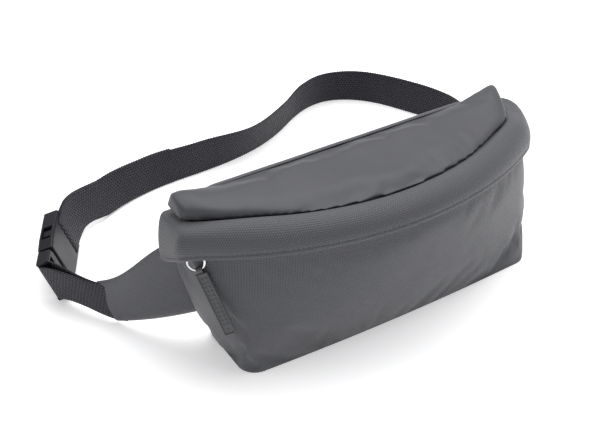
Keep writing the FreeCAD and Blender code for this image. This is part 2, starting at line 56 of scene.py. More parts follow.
# ---------------------------------------------------------------- sizes, in millimetres
RIM_FRONT_Y, RIM_R, RIM_Z, RIM_TILT = -59.0, 219.0, 103.0, math.radians(-6.7)
PANEL_INSET = 5.2
BACK_BOTTOM_Y, BACK_TOP_Y, BACK_TOP_Z = 30.0, 32.5, 112.6
MIDDLE_Z, TOP_Z = 45.0, 98.0
SHELL_T = 1.2
GROOVE_INSET = 19.3
LID_BACK_Y = 30.0
WEBBING_W, WEBBING_T = 30.0, 1.5

# Plan outlines: front line and radius, then for each end the half angle where the front line
# stops, the front corner, the heading of the end and the back corner.
RIM = dict(front_y=RIM_FRONT_Y, front_r=RIM_R, left=(40.8, 9.0, 92.0, 8.0), right=(32.5, 36.0, 65.0, 16.0))
MIDDLE = dict(front_y=-45.0, front_r=330.0, left=(20.5, 10.0, 79.0, 10.0), right=(21.3, 34.0, 78.0, 13.0))
BOTTOM = dict(front_y=-30.0, front_r=2000.0, left=(2.9, 13.0, 92.0, 8.0), right=(3.45, 13.0, 92.0, 10.0))
# How many steps each run of an outline takes: the front, then each end's corner, side, back corner.
FRONT_STEPS, CORNER_STEPS, SIDE_STEPS, BACK_CORNER_STEPS, BACK_STEPS = 72, 10, 9, 6, 52


# ---------------------------------------------------------------- mesh helpers
def make_object(name, points, faces, uvs=None, smooth=True):
    """Object from points in millimetres. uvs holds one (u, v) in millimetres per corner of each face."""
    mesh = bpy.data.meshes.new(name)
    mesh.from_pydata([tuple(float(c) * MM for c in p) for p in points], [], [tuple(f) for f in faces])
    if uvs is not None:
        layer = mesh.uv_layers.new(name="weave")
        layer.data.foreach_set("uv", np.asarray(uvs, float).reshape(-1) * MM)
    mesh.validate()
    mesh.update()
    for polygon in mesh.polygons:
        polygon.use_smooth = smooth
    obj = bpy.data.objects.new(name, mesh)
    bpy.context.scene.collection.objects.link(obj)
    return obj


def grid_faces(rows, columns, wrap_rows=False, wrap_columns=False):
    """Quads between the points of a grid, which may close on itself either way."""
    faces = []
    for i in range(rows if wrap_rows else rows - 1):
        for j in range(columns if wrap_columns else columns - 1):
            a, b = i, (i + 1) % rows
            c, d = j, (j + 1) % columns
            faces.append((a * columns + c, a * columns + d, b * columns + d, b * columns + c))
    return faces


def grid_uvs(points, wrap_rows=False, wrap_columns=False):
    """Per corner (along the columns, along the rows) distances, for grid_faces of the same grid."""
    rows, columns = points.shape[:2]
    ahead = np.arange(1, columns + wrap_columns) % columns
    across = points[:, ahead] - points[:, :columns - 1 + wrap_columns]
    u = np.concatenate([[0], np.cumsum(np.linalg.norm(across, axis=2).mean(0))])
    down = points[np.arange(1, rows + wrap_rows) % rows] - points[:rows - 1 + wrap_rows]
    v = np.concatenate([[0], np.cumsum(np.linalg.norm(down, axis=2).mean(1))])
    corners = []
    for i in range(len(v) - 1):
        for j in range(len(u) - 1):
            corners += [(u[j], v[i]), (u[j + 1], v[i]), (u[j + 1], v[i + 1]), (u[j], v[i + 1])]
    return corners


def recalculate(obj):
    """Turns every face outwards."""
    work = bmesh.new()
    work.from_mesh(obj.data)
    bmesh.ops.recalc_face_normals(work, faces=work.faces)
    work.to_mesh(obj.data)
    work.free()
    return obj


def apply_modifiers(obj):
    """Gives the object the mesh that its modifiers make."""
    bpy.context.view_layer.update()
    graph = bpy.context.evaluated_depsgraph_get()
    mesh = bpy.data.meshes.new_from_object(obj.evaluated_get(graph))
    obj.modifiers.clear()
    obj.data = mesh
    for polygon in mesh.polygons:
        polygon.use_smooth = True
    return obj


def positions(mesh):
    """Vertex positions in millimetres."""
    flat = np.zeros(len(mesh.vertices) * 3)
    mesh.vertices.foreach_get("co", flat)
    return flat.reshape(-1, 3) / MM


def set_positions(mesh, points):
    mesh.vertices.foreach_set("co", (np.asarray(points) * MM).reshape(-1))
    mesh.update()


def wobble(point, scale, seed=0.0):
    """Smooth noise from -1 to 1 at a point in millimetres."""
    x, y, z = point[0] / scale, point[1] / scale, point[2] / scale
    return noise.noise(Vector((x + seed, y - seed, z + 2 * seed)))


def inflate(obj, cap, pressure=4.0, voxel=None, held=None):
    """Swells a closed piece by cloth simulation. No point moves more than cap, and the points
    that held() picks stay where they are."""
    if voxel:
        remesh = obj.modifiers.new("remesh", "REMESH")
        remesh.mode = "VOXEL"
        remesh.voxel_size = voxel * MM
        remesh.use_smooth_shade = True
        apply_modifiers(obj)
    before = positions(obj.data)
    cloth = obj.modifiers.new("cloth", "CLOTH")
    settings = cloth.settings
    settings.quality = 6
    settings.mass = 0.3
    settings.tension_stiffness = settings.compression_stiffness = 18
    settings.shear_stiffness = 8
    settings.bending_stiffness = 0.6
    settings.use_pressure = True
    settings.uniform_pressure_force = pressure
    settings.shrink_min = -0.012
    settings.effector_weights.gravity = 0
    cloth.collision_settings.use_collision = False
    if held is not None:
        group = obj.vertex_groups.new(name="held")
        group.add([i for i, p in enumerate(before) if held(p)], 1.0, "REPLACE")
        settings.vertex_group_mass = "held"
    cloth.point_cache.frame_start, cloth.point_cache.frame_end = 1, 20
    scene = bpy.context.scene
    for number in range(1, 21):
        scene.frame_set(number)
    graph = bpy.context.evaluated_depsgraph_get()
    after = positions(obj.evaluated_get(graph).to_mesh())
    obj.modifiers.clear()
    obj.vertex_groups.clear()
    scene.frame_set(1)
    move = after - before
    length = np.linalg.norm(move, axis=1, keepdims=True)
    move *= np.minimum(1, cap / np.maximum(length, 1e-9))
    set_positions(obj.data, before + move)
    return obj


# ---------------------------------------------------------------- plan outlines
def end_points(plan, side, inset, back_y):
    """One end of an outline: arc centres and angles of its corners, in plan, for side +1 or -1."""
    turn, corner, heading, back = plan["right"] if side > 0 else plan["left"]
    turn, heading = math.radians(turn), math.radians(heading)
    corner, back = max(corner - inset, 3.0), max(back - inset, 3.0)
    radius = plan["front_r"] - inset
    start = np.array([radius * math.sin(turn), plan["front_y"] + plan["front_r"] - radius * math.cos(turn)])

    def left_of(angle):
        return np.array([-math.sin(angle), math.cos(angle)])

    centre = start + left_of(turn) * corner
    corner_end = centre - left_of(heading) * corner
    run = (back_y - corner_end[1] - back * (1 + math.cos(heading))) / math.sin(heading)
    back_start = corner_end + np.array([math.cos(heading), math.sin(heading)]) * run
    back_centre = back_start + left_of(heading) * back
    points = []
    for k in range(CORNER_STEPS):
        angle = turn + (heading - turn) * k / CORNER_STEPS
        points.append(centre - left_of(angle) * corner)
    for k in range(SIDE_STEPS):
        points.append(corner_end + (back_start - corner_end) * k / SIDE_STEPS)
    for k in range(BACK_CORNER_STEPS + 1):
        angle = heading + (math.pi - heading) * k / BACK_CORNER_STEPS
        points.append(back_centre - left_of(angle) * back)
    return np.array(points) * np.array([side, 1.0])


def outline(plan, back_y, inset=0.0):
    """Closed plan outline from the middle of the back, round the left end, the front and the right
    end, back to the middle of the back. Returns an (n, 2) array."""
    left = end_points(plan, -1, inset, back_y)[::-1]
    right = end_points(plan, 1, inset, back_y)
    radius = plan["front_r"] - inset
    centre_y = plan["front_y"] + plan["front_r"]
    a0, a1 = -math.radians(plan["left"][0]), math.radians(plan["right"][0])
    front = [(radius * math.sin(a0 + (a1 - a0) * k / FRONT_STEPS),
              centre_y - radius * math.cos(a0 + (a1 - a0) * k / FRONT_STEPS)) for k in range(1, FRONT_STEPS)]
    half = BACK_STEPS // 2
    back_left = [left[0] * (k / half) + np.array([0, back_y]) * (1 - k / half) for k in range(half)]
    back_right = [right[-1] * (1 - k / half) + np.array([0, back_y]) * (k / half) for k in range(1, half)]
    return np.vstack([back_left, left, front, right, back_right])


RING = len(outline(RIM, BACK_TOP_Y))
BAND_FIRST = BACK_STEPS // 2 + 3
BAND_LAST = RING - BACK_STEPS // 2 - 2


def tilted(points, angle):
    """Turns points about the X line through the front of the rim. angle may be one per point."""
    y, z = points[..., 1] - RIM_FRONT_Y, points[..., 2] - RIM_Z
    result = points.copy()
    result[..., 1] = RIM_FRONT_Y + y * np.cos(angle) - z * np.sin(angle)
    result[..., 2] = RIM_Z + y * np.sin(angle) + z * np.cos(angle)
    return result


def smooth_step(x, low, high):
    t = np.clip((x - low) / (high - low), 0, 1)
    return t * t * (3 - 2 * t)


# ---------------------------------------------------------------- pouch
# Fabric below HELD_FOOT and above the line that falls from HELD_RIM doesn't swell.
HELD_FOOT, HELD_RIM, RIM_FALL = 1.0, 94.0, 0.1175
POUCH_LEVELS = [0.0, 0.8, 2.2, 4.5, 8.0] + list(np.linspace(13, 96, 19)) + [99.0, 100.0]


def pouch_ring(height, inset, back_inset=None):
    """Points of the pouch at a share of the way (0 to 100) up to its rim."""
    back_inset = inset if back_inset is None else back_inset
    rows = [outline(BOTTOM, BACK_BOTTOM_Y - back_inset, inset),
            outline(MIDDLE, BACK_BOTTOM_Y + 1 - back_inset, inset),
            outline(RIM, BACK_TOP_Y - 0.5 - back_inset, inset + PANEL_INSET)]
    rim = rows[2]
    front_top = RIM_Z - 2.4 + (rim[:, 1] - RIM_FRONT_Y) * math.tan(RIM_TILT)
    rise = smooth_step(rim[:, 1], 21, 29) * (1 - 0.4 * smooth_step(np.abs(rim[:, 0]), 106, 130))
    top = front_top + (BACK_TOP_Z - front_top) * rise
    z = np.minimum(height / 100.0 * top, top)
    a, b = MIDDLE_Z, TOP_Z
    share = [(z - a) * (z - b) / (a * b), z * (z - b) / (a * (a - b)), z * (z - a) / (b * (b - a))]
    flat = sum(s[:, None] * row for s, row in zip(share, rows))
    return np.column_stack([flat, z])


def disc(ring, steps):
    """Rings from a closed outline in to a short line along its middle."""
    middle = ring.mean(0)
    span = np.array([0.55, 0.0, 0.0])
    target = middle + (ring - middle) * span
    return [ring + (target - ring) * (k / steps) for k in range(1, steps + 1)]


def make_pouch():
    """The pouch's fabric shell: swollen outside, hem over the rim, thin wall, closed bottom."""
    outside = [pouch_ring(level, 0.0) for level in POUCH_LEVELS]
    cap = disc(outside[-1], 5)
    base = disc(outside[0], 5)
    rings = base[::-1] + outside + cap
    points = np.array(rings)
    count = len(rings)
    solid = make_object("pouch_form", points.reshape(-1, 3), grid_faces(count, RING, wrap_columns=True))

    def held(p):
        return p[2] < HELD_FOOT or p[2] > HELD_RIM - RIM_FALL * (p[1] - RIM_FRONT_Y)

    inflate(solid, 4.0, pressure=3.0, held=held)
    swollen = positions(solid.data).reshape(count, RING, 3)[len(base):len(base) + len(outside)]
    bpy.data.objects.remove(solid)
    for i, level in enumerate(POUCH_LEVELS):
        fade = math.sin(math.pi * min(level / 100.0, 1.0)) ** 0.7
        for j in range(RING):
            p = swollen[i, j]
            outward = np.array([p[0] / 120.0, (p[1] - 5) / 60.0, 0])
            outward /= max(np.linalg.norm(outward), 1e-6)
            crease = 0.9 * wobble(p, 50, 1.7) + 0.25 * wobble(p, 21, 4.1)
            p += outward * crease * fade
    swollen[0, :, 2] = 0.0
    around = np.roll(swollen, -1, axis=1) - np.roll(swollen, 1, axis=1)
    normal = np.cross(around, np.gradient(swollen, axis=0))
    normal /= np.maximum(np.linalg.norm(normal, axis=2, keepdims=True), 1e-9)
    flip = np.sign((normal[10, :, 0] * swollen[10, :, 0]).sum())
    normal[..., 2] = 0
    inside = swollen - normal * flip * SHELL_T
    inside[:, :, 2] = np.maximum(inside[:, :, 2], SHELL_T)
    bottom = disc(swollen[0], 6)
    floor = disc(inside[0], 6)
    rim = swollen[-1] * 0.5 + inside[-1] * 0.5 + np.array([0, 0, 0.5])
    shell = np.array(bottom[::-1] + list(swollen) + [rim] + list(inside[::-1]) + floor)
    rows = len(shell)
    obj = make_object("pouch_shell", shell.reshape(-1, 3), grid_faces(rows, RING, wrap_columns=True),
                      grid_uvs(shell, wrap_columns=True))
    return recalculate(obj)


def make_lining():
    """Thin lining that hangs inside the pouch, softly creased."""
    inset = SHELL_T + 0.6
    rings = []
    for level in POUCH_LEVELS[1:-2]:
        ring = pouch_ring(level, inset, inset + 4.2)
        ring[:, 2] = np.maximum(ring[:, 2], 1.6)
        rings.append(ring)
    rings = np.array(rings)
    for ring in rings:
        for p in ring:
            inward = np.array([-p[0] / 120.0, -(p[1] - 5) / 60.0, 0])
            p += inward / max(np.linalg.norm(inward), 1e-6) * (0.9 + 0.9 * wobble(p, 18, 7.3))
    shell = np.array(disc(rings[0], 6)[::-1] + list(rings))
    faces = grid_faces(len(shell), RING, wrap_columns=True)
    obj = make_object("pouch_lining_cloth", shell.reshape(-1, 3), faces, grid_uvs(shell, wrap_columns=True))
    recalculate(obj)
    solid = obj.modifiers.new("thickness", "SOLIDIFY")
    solid.thickness = 0.35 * MM
    solid.offset = 0
    return apply_modifiers(obj)


# ---------------------------------------------------------------- lid
# Band section, from the hem's inner edge round the lower edge, over the roll and on under the top panel:
# inset from the rim, height, share of the rim's tilt, and how much of the ends' drop it takes.
BAND_OUTER = [(1.5, 109.0, 0.9, 0.4), (1.3, 105.5, 1.0, 0.8), (1.1, 103.0, 1.0, 1.0),
              (0.8, 102.2, 1.0, 1.0), (0.2, 101.9, 1.0, 1.0), (-0.5, 102.3, 1.0, 1.0),
              (-0.9, 103.2, 1.0, 1.0), (-0.9, 104.4, 1.0, 1.0), (-0.45, 105.0, 1.0, 0.95),
              (-1.1, 105.9, 0.95, 0.9), (-1.2, 108.4, 0.85, 0.7), (-0.4, 111.2, 0.7, 0.45),
              (1.4, 113.8, 0.52, 0.25), (4.2, 116.1, 0.35, 0.1), (7.8, 117.9, 0.22, 0.0),
              (11.8, 118.9, 0.1, 0.0), (15.2, 118.8, 0.0, 0.0), (17.4, 117.9, 0.0, 0.0),
              (18.4, 116.4, 0.0, 0.0), (18.9, 115.3, 0.0, 0.0), (23.5, 115.0, 0.0, 0.0)]
BAND_INNER = [(23.5, 114.5, 0.0, 0.0), (17.4, 114.5, 0.0, 0.0), (14.5, 116.4, 0.0, 0.0),
              (9.0, 115.9, 0.2, 0.0), (4.6, 113.6, 0.4, 0.1), (2.4, 110.6, 0.75, 0.35)]


def end_drop(points):
    """How far the band's lower edge hangs at its two ends."""
    left = 15.0 * smooth_step(points[:, 1], -14, 30) * (points[:, 0] < 0)
    right = 4.0 * smooth_step(points[:, 1], -10, 30) * (points[:, 0] > 0)
    return left + right


def make_band():
    """Folded cover band over the zip, with a puffy roll, a hem and drooping ends."""
    rows = []
    for rank, (inset, z, tilt_share, drop_share) in enumerate(BAND_OUTER + BAND_INNER):
        over_roll = rank / (len(BAND_OUTER) - 1)
        flat = outline(RIM, BACK_TOP_Y, inset)[BAND_FIRST:BAND_LAST + 1]
        row = np.column_stack([flat, np.full(len(flat), z)])
        row = tilted(row, RIM_TILT * tilt_share)
        row[:, 2] -= end_drop(row) * drop_share
        right_end = smooth_step(row[:, 0], 96, 132) * smooth_step(row[:, 1], -22, 8)
        bulge = right_end * math.sin(math.pi * min(over_roll, 1))
        row[:, 0] += 3.0 * bulge
        ends = smooth_step(row[:, 1], -22, 18) * smooth_step(np.abs(row[:, 0]), 70, 110)
        row[:, 2] -= 6.0 * ends * smooth_step(np.array(inset), 1.0, 11.0)
        rows.append(row)
    points = np.array(rows)
    for i, row in enumerate(points):
        weight = math.sin(math.pi * min(i / (len(BAND_OUTER) - 1), 1.0))
        for p in row:
            p[2] -= 3.0 * smooth_step(p[1], 14, 26) * smooth_step(i, 12, 16)
            p[2] += weight * 0.5 * wobble(p, 38, 3.3)
            p[1] -= weight * 0.5 * wobble(p, 55, 5.9)
    count, length = points.shape[:2]
    faces = grid_faces(count, length, wrap_rows=True)
    uvs = grid_uvs(points, wrap_rows=True)
    for j in (0, length - 1):
        faces.append([i * length + j for i in range(count)])
        uvs += [(0, 0)] * count
    obj = make_object("cover_band", points.reshape(-1, 3), faces, uvs)
    recalculate(obj)
    refine = obj.modifiers.new("refine", "SUBSURF")
    refine.levels = refine.render_levels = 1
    return apply_modifiers(obj)


def make_top():
    """Crowned top panel: a slack pillow whose edge dips into the groove."""
    rows = [(1.6, 114.6), (0.3, 115.2), (-0.2, 116.4), (0.2, 117.6), (1.4, 118.9), (3.8, 120.0), (8.0, 120.8),
            (14.0, 121.3)]
    edge = outline(RIM, LID_BACK_Y, GROOVE_INSET)
    low, high = edge.min(0), edge.max(0)
    middle, half = (low + high) / 2, (high - low) / 2
    rings = []
    for inset, z in rows:
        flat = middle + (edge - middle) * (1 - inset / half)
        rings.append(np.column_stack([flat, np.full(RING, z)]))
    shell = np.array(disc(rings[0], 4)[::-1] + rings + disc(rings[-1], 4))
    obj = make_object("top_cushion", shell.reshape(-1, 3), grid_faces(len(shell), RING, wrap_columns=True))
    recalculate(obj)
    inflate(obj, 2.4, pressure=4.0, voxel=2.6, held=lambda p: p[2] < 116.2)
    smooth = obj.modifiers.new("smooth", "SMOOTH")
    smooth.factor, smooth.iterations = 0.5, 5
    apply_modifiers(obj)
    points = positions(obj.data)
    for p in points:
        crown = smooth_step(p[2], 116.5, 119.5)
        end_left = smooth_step(-p[0], 92, 124)
        end_right = smooth_step(p[0], 84, 118)
        back = smooth_step(p[1], -6, 22)
        lumps = 4.6 * end_left * back + 3.0 * end_right * back + 1.6 * smooth_step(p[0], 60, 96) * back
        p[2] += crown * (lumps - 1.3 * (1 - end_left) * (1 - end_right))
        p[2] += crown * (0.9 * wobble(p, 34, 2.2) + 0.35 * wobble(p, 15, 6.4))
        p[1] += crown * back * (1.5 * end_left + 2.5 * end_right)
        out = smooth_step(p[1], -22, 10)
        p[0] += out * (6.0 * smooth_step(p[0], 60, 105) - 7.0 * smooth_step(-p[0], 70, 115))
        p[2] -= 1.6 * out * (1 - crown) * (end_left + end_right)
    set_positions(obj.data, points)
    refine = obj.modifiers.new("refine", "SUBSURF")
    refine.levels = refine.render_levels = 1
    return apply_modifiers(obj)


def make_lid_lining():
    """Thin lining under the lid, a little slack."""
    edge = outline(RIM, LID_BACK_Y - 0.6, GROOVE_INSET + 1.6)
    ring = np.column_stack([edge, np.full(RING, 113.9)])
    rings = np.array([ring] + disc(ring, 8))
    for i, row in enumerate(rings):
        for p in row:
            p[2] -= 0.7 * math.sin(math.pi * min(i / 5.0, 1.0)) + 0.3 * wobble(p, 20, 9.1)
    faces = grid_faces(len(rings), RING, wrap_columns=True)
    obj = make_object("lid_lining_cloth", rings.reshape(-1, 3), faces, grid_uvs(rings, wrap_columns=True))
    solid = obj.modifiers.new("thickness", "SOLIDIFY")
    solid.thickness = 0.35 * MM
    solid.offset = 0
    return apply_modifiers(obj)


def make_fold():
    """Fabric strip over the lid's fold, from the back panel up onto the top panel."""
    section = [(31.2, 108.5), (32.7, 109.5), (33.3, 112.0), (33.5, 114.4), (32.8, 116.4), (31.0, 117.7),
               (28.6, 118.3), (27.0, 117.6), (28.8, 116.8), (30.6, 116.0), (31.6, 114.4), (31.8, 112.0),
               (31.4, 110.0)]
    xs = np.linspace(-131, 125, 64)
    points = np.array([[(x, y - 5.0 * smooth_step(abs(x + 2), 104, 128),
                         z - 7.0 * smooth_step(abs(x + 2), 100, 126) + 0.25 * wobble((x, y, z), 25, 8.8))
                        for x in xs] for y, z in section])
    count, length = points.shape[:2]
    faces = grid_faces(count, length, wrap_rows=True)
    uvs = grid_uvs(points, wrap_rows=True)
    for j in (0, length - 1):
        faces.append([i * length + j for i in range(count)])
        uvs += [(0, 0)] * count
    obj = recalculate(make_object("lid_fold_cloth", points.reshape(-1, 3), faces, uvs))
    refine = obj.modifiers.new("refine", "SUBSURF")
    refine.levels = refine.render_levels = 1
    return apply_modifiers(obj)


# ---------------------------------------------------------------- wings
WING_ROOT = np.array([[-114.0, 26.5, 22.0], [-131.0, 25.0, 90.0]])
WING_TIP = np.array([[-162.0, 72.0, 1.2], [-169.0, 84.0, 31.5]])

WING_OUT = np.array([-0.8, -0.6, 0])
WING_BULGE = 3.5


def wing_bow(s):
    """How far a wing's face bows out, at a share of the way to its tip."""
    return WING_OUT * (4 * s * (1 - s) * WING_BULGE)


def make_wing(side):
    """One wing: two fabric layers over soft padding, thin at the sewn edges."""
    along, across = 34, 22
    grid = np.zeros((2, along + 1, across + 1, 3))
    for i in range(along + 1):
        s = i / along
        for j in range(across + 1):
            t = j / across
            bulge = wing_bow(s)
            round_tip = 3.0 * s ** 6 * (1 - (2 * t - 1) ** 2)
            waist = np.array([0, 0, 2.6 * math.sin(2 * math.pi * s) * t - 1.5 * math.sin(math.pi * s) * t])
            low = WING_ROOT[0] + (WING_TIP[0] - WING_ROOT[0]) * s
            high = WING_ROOT[1] + (WING_TIP[1] - WING_ROOT[1]) * s
            heading = WING_TIP[0] - WING_ROOT[0]
            heading = heading / np.linalg.norm(heading)
            p = low + (high - low) * t + bulge + heading * round_tip + waist
            normal = np.cross(WING_TIP[0] - WING_ROOT[0], high - low)
            normal /= np.linalg.norm(normal)
            edge = min(1.0, min(t, 1 - t) * across / 2.2, (1 - s) * along / 1.6)
            swell = 0.5 * math.sin(math.pi * s) * math.sin(math.pi * t)
            half = 0.75 + 1.55 * math.sqrt(max(edge, 0.0)) + swell
            p = p + normal * 0.6 * wobble(p, 28, 1.1)
            grid[0, i, j] = p + normal * half
            grid[1, i, j] = p - normal * half
    if side > 0:
        grid[..., 0] *= -1
    front, back = grid
    loop = [(i, 0) for i in range(along + 1)] + [(along, j) for j in range(1, across + 1)]
    loop += [(i, across) for i in range(along - 1, -1, -1)] + [(0, j) for j in range(across - 1, 0, -1)]
    columns = across + 1
    size = (along + 1) * columns
    faces = grid_faces(along + 1, columns)
    uvs = grid_uvs(front)
    faces += [tuple(size + k for k in f[::-1]) for f in faces]
    uvs += [uvs[n * 4 + 3 - k] for n in range(len(uvs) // 4) for k in range(4)]
    for (i, j), (k, m) in zip(loop, loop[1:] + loop[:1]):
        a, b = i * columns + j, k * columns + m
        faces.append((a, b, size + b, size + a))
        uvs += [(0, 0), (3, 0), (3, 3), (0, 3)]
    name = "wing_right" if side > 0 else "wing_left"
    obj = recalculate(make_object(name, grid.reshape(-1, 3), faces, uvs))
    refine = obj.modifiers.new("refine", "SUBSURF")
    refine.levels = refine.render_levels = 1
    return apply_modifiers(obj)


# ---------------------------------------------------------------- belt
ROUTE = [(152.5, 60.4), (162.3, 71.7), (187, 108), (201, 138), (202, 166), (190, 194), (168, 234), (132, 256),
         (104, 251), (72, 233), (32, 217), (-20, 211), (-67, 208), (-105, 196), (-132, 182.5)]
ROUTE_LEAN = [-7, -7, 0, 0, 0, 4, 0, -4, -6, -10, -14, 0, 8, 16, 21]
ROUTE_LIFT = [2, 0.5, 0.5, 0.5, 0.5, 0.5, 0.5, 0.5, 0.5, 0.5, 0.5, 0.5, 0.5, 1.5, 4.2]
TAIL_START = 0.82
TAIL_OFFSET = 2.1

BUCKLE_HEADING, BUCKLE_LEAN = math.radians(-119.0), math.radians(21.0)
BUCKLE_FOOT = np.array([-153.0, 167.0, 0.0])
BUCKLE_W, BUCKLE_T = 36.6, 12.0
AXIS = np.array([math.cos(BUCKLE_HEADING), math.sin(BUCKLE_HEADING), 0.0])
ACROSS = np.array([math.sin(BUCKLE_HEADING) * math.sin(BUCKLE_LEAN),
                   -math.cos(BUCKLE_HEADING) * math.sin(BUCKLE_LEAN), math.cos(BUCKLE_LEAN)])
OUTWARD = np.cross(AXIS, ACROSS)
BUCKLE_ORIGIN = BUCKLE_FOOT + ACROSS * (BUCKLE_W / 2) + np.array([0, 0, BUCKLE_T / 2 * abs(OUTWARD[2]) + 0.3])
# The ladder end of the belt in the buckle's frame: along the buckle and out of its face.
LADDER = [(-22, -10.6), (-2, -6.4), (9.5, -6.4), (11.8, -3.6), (11.8, 2.4), (10.2, 4.0), (6.6, 4.0),
          (5.0, 2.4), (5.0, -2.4), (3.0, -4.4), (-3, -4.4), (-22, -8.4)]
PLUG_BAR_X = 61.1


def in_buckle(x, y, z):
    return BUCKLE_ORIGIN + AXIS * x + ACROSS * y + OUTWARD * z


def natural_spline(points):
    """Cubic spline through plan points with chord spacing. Returns the knots and a function of them."""
    p = np.array(points, float)
    knots = np.concatenate([[0], np.cumsum(np.linalg.norm(np.diff(p, axis=0), axis=1))])
    n, h = len(p), np.diff(knots)
    matrix, right = np.eye(n), np.zeros_like(p)
    for i in range(1, n - 1):
        matrix[i, i - 1:i + 2] = h[i - 1], 2 * (h[i - 1] + h[i]), h[i]
        right[i] = 6 * ((p[i + 1] - p[i]) / h[i] - (p[i] - p[i - 1]) / h[i - 1])
    bend = np.linalg.solve(matrix, right)

    def at(u):
        i = min(max(int(np.searchsorted(knots, u, side="right")) - 1, 0), n - 2)
        a, b = (knots[i + 1] - u), (u - knots[i])
        value = (bend[i] * a ** 3 + bend[i + 1] * b ** 3) / (6 * h[i])
        value = value + (p[i] / h[i] - bend[i] * h[i] / 6) * a
        value = value + (p[i + 1] / h[i] - bend[i + 1] * h[i] / 6) * b
        return value, i, b / h[i]

    return knots, at


def route_stations(start, stop, step, offset=0.0):
    """Bottom and top edge points of the standing webbing between two shares of its route."""
    knots, at = natural_spline(ROUTE)
    first, last = knots[-1] * start, knots[-1] * stop
    found = []
    for u in np.linspace(first, last, max(int((last - first) / step), 2)):
        value, k, f = at(u)
        ease = f * f * (3 - 2 * f)
        lean = math.radians(ROUTE_LEAN[k] + (ROUTE_LEAN[k + 1] - ROUTE_LEAN[k]) * ease)
        lift = ROUTE_LIFT[k] + (ROUTE_LIFT[k + 1] - ROUTE_LIFT[k]) * ease
        ahead = at(min(u + 0.5, knots[-1]))[0] - at(max(u - 0.5, 0))[0]
        ahead = np.append(ahead / np.linalg.norm(ahead), 0.0)
        side = np.array([-ahead[1], ahead[0], 0.0])
        up = side * -math.sin(lean) + np.array([0, 0, math.cos(lean)])
        out = np.cross(ahead, up)
        low = np.append(value, 0.0) + np.array([0, 0, lift + abs(out[2]) * WEBBING_T / 2]) + out * offset
        found.append((low, low + up * WEBBING_W))
    return found


def rounded(stations, passes=3):
    """Cuts the corners of a run of stations, end points kept."""
    for _ in range(passes):
        cut = [stations[0]]
        for (a, b), (c, d) in zip(stations, stations[1:]):
            cut += [(a * 0.75 + c * 0.25, b * 0.75 + d * 0.25), (a * 0.25 + c * 0.75, b * 0.25 + d * 0.75)]
        stations = cut + [stations[-1]]
    return stations


def respaced(stations, step):
    """Stations at an even spacing along the webbing's middle."""
    low, high = (np.array([s[k] for s in stations]) for k in (0, 1))
    middle = (low + high) / 2
    run = np.concatenate([[0], np.cumsum(np.linalg.norm(np.diff(middle, axis=0), axis=1))])
    at = np.linspace(0, run[-1], max(int(run[-1] / step), 8))
    pick = [np.column_stack([np.interp(at, run, side[:, k]) for k in range(3)]) for side in (low, high)]
    return pick[0], pick[1], at


SELVAGE_PITCH = 2.3      # the weave's ribs, along the webbing
EDGE = [-15.0, -14.6, -13.4, -9.0, -4.5, 0.0, 4.5, 9.0, 13.4, 14.6, 15.0]


def make_webbing(name, stations, thickness=WEBBING_T, step=0.75):
    """Flat webbing through stations, with rounded, serrated selvages."""
    low, high, run = respaced(stations, step)
    middle, width = (low + high) / 2, high - low
    width /= np.linalg.norm(width, axis=1, keepdims=True)
    ahead = np.gradient(middle, axis=0)
    out = np.cross(ahead, width)
    out /= np.maximum(np.linalg.norm(out, axis=1, keepdims=True), 1e-9)
    section = []
    for v in EDGE:
        section.append((v, thickness / 2 * (0.35 if abs(v) == 15 else 0.85 if abs(v) > 14 else 1.0)))
    section += [(v, -h) for v, h in section[::-1]]
    rows = []
    for k in range(len(middle)):
        tooth = 0.28 * math.sin(2 * math.pi * run[k] / SELVAGE_PITCH)
        row = []
        for v, h in section:
            reach = v + (tooth if v > 14 else -tooth if v < -14 else 0.0)
            row.append(middle[k] + width[k] * reach + out[k] * h)
        rows.append(row)
    points = np.array(rows)
    count, length = points.shape[:2]
    faces = grid_faces(count, length, wrap_columns=True)
    across = [v for v, _ in section] + [section[0][0]]
    uvs = []
    for i in range(count - 1):
        for j in range(length):
            a, b = across[j], across[j + 1]
            uvs += [(run[i], a), (run[i], b), (run[i + 1], b), (run[i + 1], a)]
    for i in (0, count - 1):
        faces.append([i * length + j for j in range(length)])
        uvs += [(run[i], v) for v, _ in section]
    return recalculate(make_object(name, points.reshape(-1, 3), faces, uvs))


def make_belt():
    """Long strap from the right wing, through the socket's ladder and back as the free tail."""
    half = WEBBING_W / 2
    strap = route_stations(0, 0.955, 1.5)
    ladder = [(in_buckle(x, -half, z), in_buckle(x, half, z)) for x, z in LADDER]
    tail = route_stations(TAIL_START, 0.955, 1.5, TAIL_OFFSET)[::-1]
    return make_webbing("belt_webbing", strap[:-1] + rounded([strap[-1]] + ladder + [tail[0]]) + tail[1:])


SHORT_TIP = np.array([[-156.4, 64.2, 4.2], [-163.2, 72.2, 33.0]])
SHORT_START = np.array([-0.62, 0.75, -0.2])
SHORT_PLY = [(0.0, 0.8), (0.3, 0.85), (0.55, 1.3), (0.8, 2.6), (1.0, 3.9)]
PLUG_TURN = (0.776, 0.556)


def short_curve(s, start, end, away, stretch):
    """Point of the short strap's line at a share of the way from the wing to the plug's bar."""
    h = s * s * (3 - 2 * s)
    leaving = SHORT_START * (stretch * s * (1 - s) ** 2)
    return start + (end - start) * h + leaving - away * (stretch * s * s * (1 - s))


